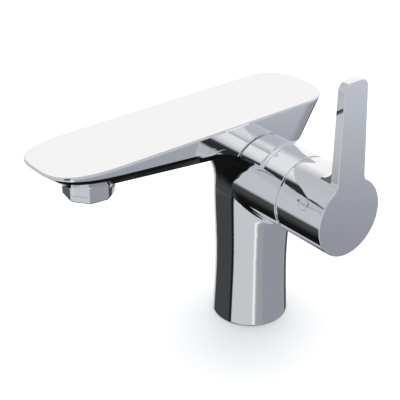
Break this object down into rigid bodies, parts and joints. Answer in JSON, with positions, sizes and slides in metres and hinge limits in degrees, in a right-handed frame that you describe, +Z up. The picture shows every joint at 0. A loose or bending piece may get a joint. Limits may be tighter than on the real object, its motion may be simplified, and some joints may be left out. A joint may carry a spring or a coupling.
{
  "type": "single-lever basin mixer faucet",
  "caption": "Chrome bathroom basin mixer: round column, long flat spout with aerator, and a side lever on a horizontal ceramic-disc cartridge that turns and tilts.",
  "frame": {"origin": "centre of the foot's hollow, on the deck plane", "axes": "+Z up from the basin deck, spout along -Y, lever on the +X side"},
  "size_m": [0.1004, 0.176, 0.171],
  "materials": {
    "polished_chrome": "mirror polished chrome plate",
    "raw_brass": "machined",
    "stainless": "turned",
    "seal_rubber": "matte",
    "white_plastic": "moulded",
    "grey_plastic": "moulded",
    "red_plastic": "moulded",
    "ceramic": "lapped ceramic"
  },
  "bodies": {
    "root": {"body_casting": "polished_chrome", "base_gasket": "seal_rubber", "cartridge_base": "grey_plastic", "port_seals": "seal_rubber", "disc_seals": "seal_rubber", "fixed_ceramic_disc": "ceramic", "cartridge_shell": "white_plastic", "cartridge_nut": "raw_brass", "dome_cover": "polished_chrome", "aerator_housing": "polished_chrome", "aerator_insert": "white_plastic", "aerator_screens": "stainless", "flow_regulator": "grey_plastic", "aerator_washer": "seal_rubber"},
    "rotor": {"cartridge_rotor": "grey_plastic", "rotor_seal": "seal_rubber", "pivot_pin": "stainless", "hot_limit_ring": "red_plastic"},
    "disc": {"moving_ceramic_disc": "ceramic", "disc_carrier": "white_plastic"},
    "handle": {"lever_stem": "raw_brass", "handle_shell": "polished_chrome", "set_screw": "stainless", "screw_plug": "polished_chrome"}
  },
  "joints": [
    {"name": "temperature_turn", "type": "hinge", "parent": "root", "child": "rotor", "pos_m": [0.03, 0, 0.09515], "axis": [1, 0, 0], "range_deg": [-45, 45]},
    {"name": "flow_tilt", "type": "hinge", "parent": "rotor", "child": "handle", "pos_m": [0.03, 0, 0.09515], "axis": [0, 1, 0], "range_deg": [0, 22]},
    {"name": "disc_slide", "type": "slide", "parent": "rotor", "child": "disc", "axis": [0, 0, 1], "range_m": [0, 0.0034]}
  ],
  "couplings": [
    {"joint": "disc_slide", "follows": "flow_tilt", "m_per_rad": 0.0085}
  ]
}
